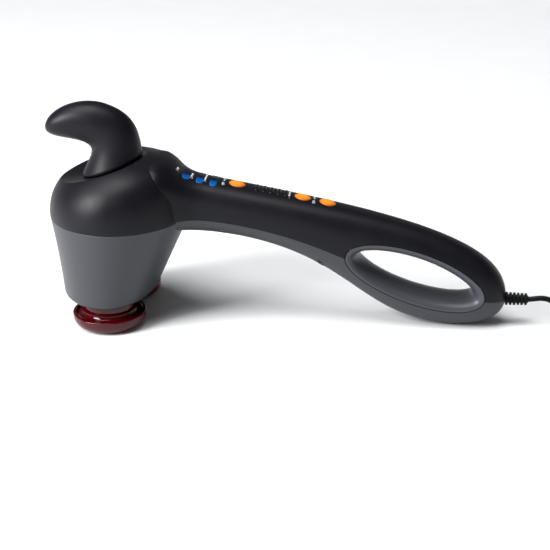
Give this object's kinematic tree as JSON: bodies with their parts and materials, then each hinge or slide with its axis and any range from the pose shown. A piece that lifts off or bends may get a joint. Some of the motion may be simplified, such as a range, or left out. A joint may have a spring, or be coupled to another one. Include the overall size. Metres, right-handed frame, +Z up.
{
  "type": "massage gun",
  "caption": "Corded percussion massager: twin nodes on a motor-driven rocker under a domed head with a swivel knob, and a long handle with keys and a closed loop grip",
  "frame": {"origin": "on the floor plane, under the middle of the object measured from the knob tip to the end of the handle", "axes": "+X from the head along the handle, +Y to the left when the handle points forward, +Z up; the nodes and the loop rest on z = 0"},
  "size_m": [0.5411, 0.242, 0.1918],
  "materials": {
    "soft_black_shell": "soft-touch, satin",
    "grey_shell": "satin metallic grey",
    "red_lens": "translucent, polished",
    "orange_key": "translucent, smooth",
    "blue_window": "translucent, polished",
    "black_window": "smoked, polished",
    "zinc_steel": "zinc plated",
    "motor_steel": "drawn, zinc plated",
    "frame_alloy": "die cast, unpainted",
    "beam_nylon": "glass-filled, matt",
    "bush_bronze": "sintered bronze",
    "magnet_ferrite": "ferrite, ground",
    "copper_winding": "enamelled copper on laminations",
    "black_nylon": "moulded, matt",
    "circuit_board": "solder mask on fibreglass",
    "wire_pvc": "flexible insulation",
    "cord_pvc": "flexible jacket, satin",
    "relief_pvc": "flexible, satin",
    "tie_strap": "soft strap",
    "plug_plastic": "moulded, satin",
    "plug_nickel": "nickel plated"
  },
  "bodies": {
    "housing": {"head_dome": "soft_black_shell", "head_body": "grey_shell", "handle_cover": "soft_black_shell", "handle_base": "grey_shell", "loop_liner": "grey_shell", "drive_frame": "frame_alloy", "frame_screws": "zinc_steel", "pivot_pin": "zinc_steel", "pivot_bushes": "bush_bronze", "motor_can": "motor_steel", "motor_end_cap": "black_nylon", "motor_magnets": "magnet_ferrite", "motor_screws": "zinc_steel", "control_board": "circuit_board", "board_screws": "zinc_steel", "tact_switches": "black_nylon", "power_board": "circuit_board", "inner_wires": "wire_pvc", "inner_lead": "wire_pvc", "housing_screws": "zinc_steel", "light_windows": "blue_window", "level_windows": "black_window", "strain_relief": "relief_pvc", "cord_clamp": "black_nylon", "clamp_screws": "zinc_steel", "cord": "cord_pvc", "cord_coil": "cord_pvc", "cord_tail": "cord_pvc", "coil_tie": "tie_strap", "plug_body": "plug_plastic", "plug_pins": "plug_nickel"},
    "rocker": {"rocker_beam": "beam_nylon", "node_cap_left": "red_lens", "node_cap_right": "red_lens", "led_board_left": "circuit_board", "led_board_right": "circuit_board"},
    "rotor": {"motor_shaft": "zinc_steel", "armature": "copper_winding", "crank_disc": "zinc_steel", "crank_roller": "zinc_steel"},
    "knob": {"hook_knob": "soft_black_shell", "swivel_spindle": "zinc_steel", "swivel_washer": "zinc_steel", "swivel_screw": "zinc_steel"},
    "power_key": {"power_button": "orange_key"},
    "speed_key": {"speed_button": "orange_key"},
    "heat_key": {"heat_button": "orange_key"}
  },
  "joints": [
    {"name": "rocker_pivot", "type": "hinge", "parent": "housing", "child": "rocker", "pos_m": [-0.14645, 0, 0.04], "axis": [1, 0, 0], "range_deg": [-4, 4]},
    {"name": "motor_spin", "type": "hinge", "parent": "housing", "child": "rotor", "pos_m": [-0.14645, 0, 0.088], "axis": [1, 0, 0], "continuous": true},
    {"name": "knob_swivel", "type": "hinge", "parent": "housing", "child": "knob", "pos_m": [-0.15135, 0, 0.135], "axis": [-0.2924, 0, 0.9563], "continuous": true},
    {"name": "power_press", "type": "slide", "parent": "housing", "child": "power_key", "axis": [-0.1674, 0, -0.9859], "range_m": [0, 0.0006], "stiffness_N_per_m": 2500},
    {"name": "speed_press", "type": "slide", "parent": "housing", "child": "speed_key", "axis": [-0.1821, 0, -0.9833], "range_m": [0, 0.0006], "stiffness_N_per_m": 2500},
    {"name": "heat_press", "type": "slide", "parent": "housing", "child": "heat_key", "axis": [-0.1941, 0, -0.981], "range_m": [0, 0.0006], "stiffness_N_per_m": 2500}
  ]
}
